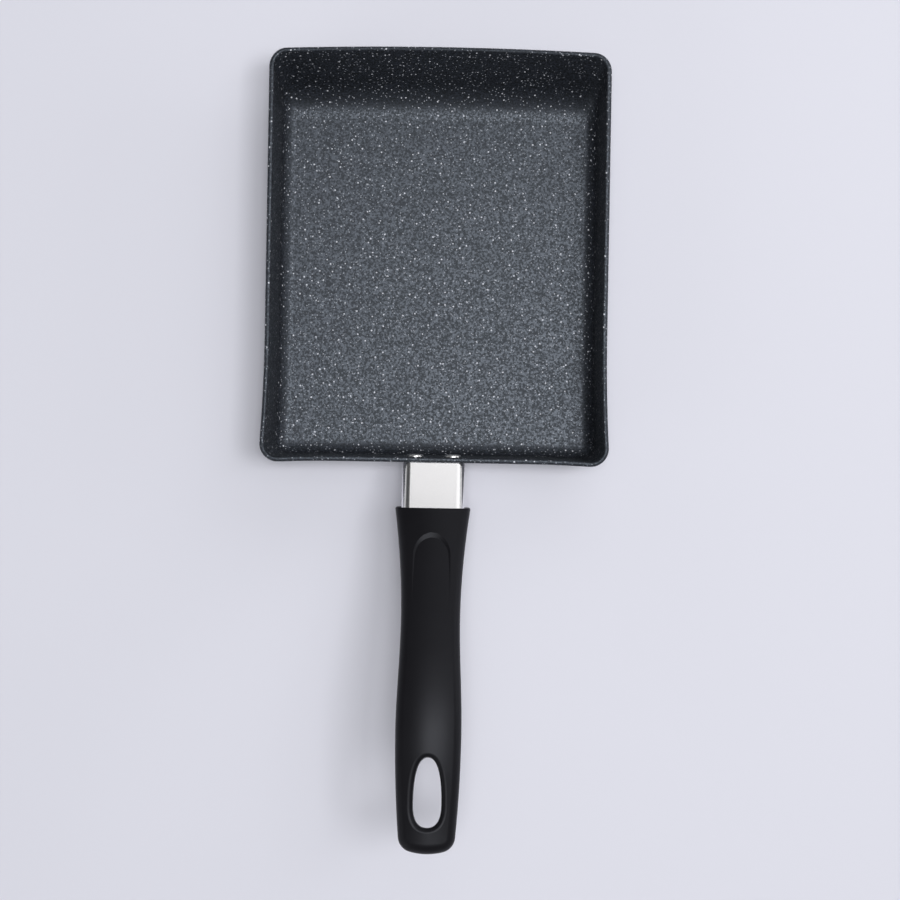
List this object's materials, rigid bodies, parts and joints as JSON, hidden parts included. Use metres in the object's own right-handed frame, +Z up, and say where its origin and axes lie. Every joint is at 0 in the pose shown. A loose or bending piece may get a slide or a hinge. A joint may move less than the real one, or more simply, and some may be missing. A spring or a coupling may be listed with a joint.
{
  "type": "tamagoyaki pan",
  "caption": "Rectangular rolled-omelette pan with a sloping far wall, speckled dark coat, metal ferrule and a dark moulded handle with a hanging hole.",
  "frame": {"origin": "on the base's flat underside, below the middle of the pan's mouth", "axes": "+Z up, +Y away from the handle towards the sloping far wall, +X to the right with the handle towards the user"},
  "size_m": [0.1528, 0.3443, 0.08],
  "materials": {
    "speckled_coat": "satin",
    "rivet_metal": "satin",
    "cast_alloy": "matte",
    "ferrule_metal": "satin",
    "handle_resin": "matte",
    "fastener_steel": "satin"
  },
  "bodies": {
    "root": {"pan_body": "speckled_coat", "rivet_left": "rivet_metal", "rivet_right": "rivet_metal", "handle_bracket": "cast_alloy", "ferrule": "ferrule_metal", "handle": "handle_resin", "flat_washer": "fastener_steel", "lock_washer": "fastener_steel", "handle_screw": "fastener_steel"}
  },
  "joints": []
}
